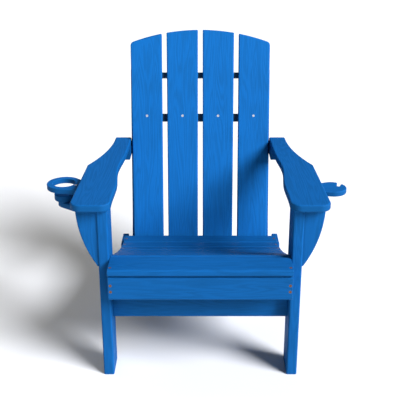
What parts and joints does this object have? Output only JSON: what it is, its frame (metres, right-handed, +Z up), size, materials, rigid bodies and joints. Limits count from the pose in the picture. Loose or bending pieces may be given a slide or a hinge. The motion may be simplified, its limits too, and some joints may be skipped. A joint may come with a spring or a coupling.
{
  "type": "adirondack chair",
  "caption": "Slatted garden armchair with a fan back, wide flat arms, a swivelling cup ring on one arm and a stemmed-glass holder on the other.",
  "frame": {"origin": "on the floor, under the middle of the whole chair's bounding box, holders included", "axes": "+Z up; the sitter looks along -Y; +X points to the sitter's left hand"},
  "size_m": [0.927, 0.7988, 0.9517],
  "materials": {
    "poly_lumber": "moulded, embossed with wood grain",
    "stainless_steel": "satin",
    "bronze_screws": "baked coating",
    "nylon_washers": "matte"
  },
  "bodies": {
    "chair": {"apron_screws": "bronze_screws", "arm_block_screws": "stainless_steel", "arm_bracket_left": "poly_lumber", "arm_bracket_right": "poly_lumber", "arm_cleat_left": "poly_lumber", "arm_cleat_right": "poly_lumber", "arm_cleat_screws": "stainless_steel", "arm_left": "poly_lumber", "arm_rear_block_left": "poly_lumber", "arm_rear_block_right": "poly_lumber", "arm_right": "poly_lumber", "back_foot_rail": "poly_lumber", "back_foot_screws": "stainless_steel", "back_slat_1": "poly_lumber", "back_slat_2": "poly_lumber", "back_slat_3": "poly_lumber", "back_slat_4": "poly_lumber", "back_slat_screws": "stainless_steel", "back_upright_left": "poly_lumber", "back_upright_right": "poly_lumber", "bracket_screws": "stainless_steel", "cup_pivot_bolt": "stainless_steel", "cup_pivot_nut": "stainless_steel", "cup_pivot_washers": "nylon_washers", "front_apron": "poly_lumber", "front_leg_left": "poly_lumber", "front_leg_right": "poly_lumber", "front_stretcher": "poly_lumber", "glass_pivot_bolt": "stainless_steel", "glass_pivot_nut": "stainless_steel", "glass_pivot_washers": "nylon_washers", "leg_screws": "stainless_steel", "lower_back_rail": "poly_lumber", "rear_leg_left": "poly_lumber", "rear_leg_right": "poly_lumber", "rear_leg_screws": "stainless_steel", "seat_slat_1": "poly_lumber", "seat_slat_2": "poly_lumber", "seat_slat_3": "poly_lumber", "seat_slat_4": "poly_lumber", "seat_slat_5": "poly_lumber", "seat_slat_6": "poly_lumber", "seat_slat_7": "poly_lumber", "seat_slat_screws": "bronze_screws", "seat_stringer_left": "poly_lumber", "seat_stringer_right": "poly_lumber", "stretcher_screws": "stainless_steel", "upper_back_rail": "poly_lumber", "upper_rail_screws": "stainless_steel", "upright_block_screws": "stainless_steel", "upright_screws": "stainless_steel"},
    "cup_holder": {"cup_ring": "poly_lumber", "cup_spacer": "poly_lumber", "cup_carrier": "poly_lumber", "cup_tray": "poly_lumber", "cup_neck_screw": "stainless_steel", "cup_tray_screws": "stainless_steel"},
    "glass_holder": {"glass_plate": "poly_lumber"}
  },
  "joints": [
    {"name": "cup_holder_swivel", "type": "hinge", "parent": "chair", "child": "cup_holder", "pos_m": [-0.3255, -0.16674, 0.517], "axis": [0, 0, 1], "range_deg": [-80, 45]},
    {"name": "glass_holder_swivel", "type": "hinge", "parent": "chair", "child": "glass_holder", "pos_m": [0.3545, -0.16674, 0.551], "axis": [0, 0, 1], "range_deg": [-45, 80]}
  ]
}
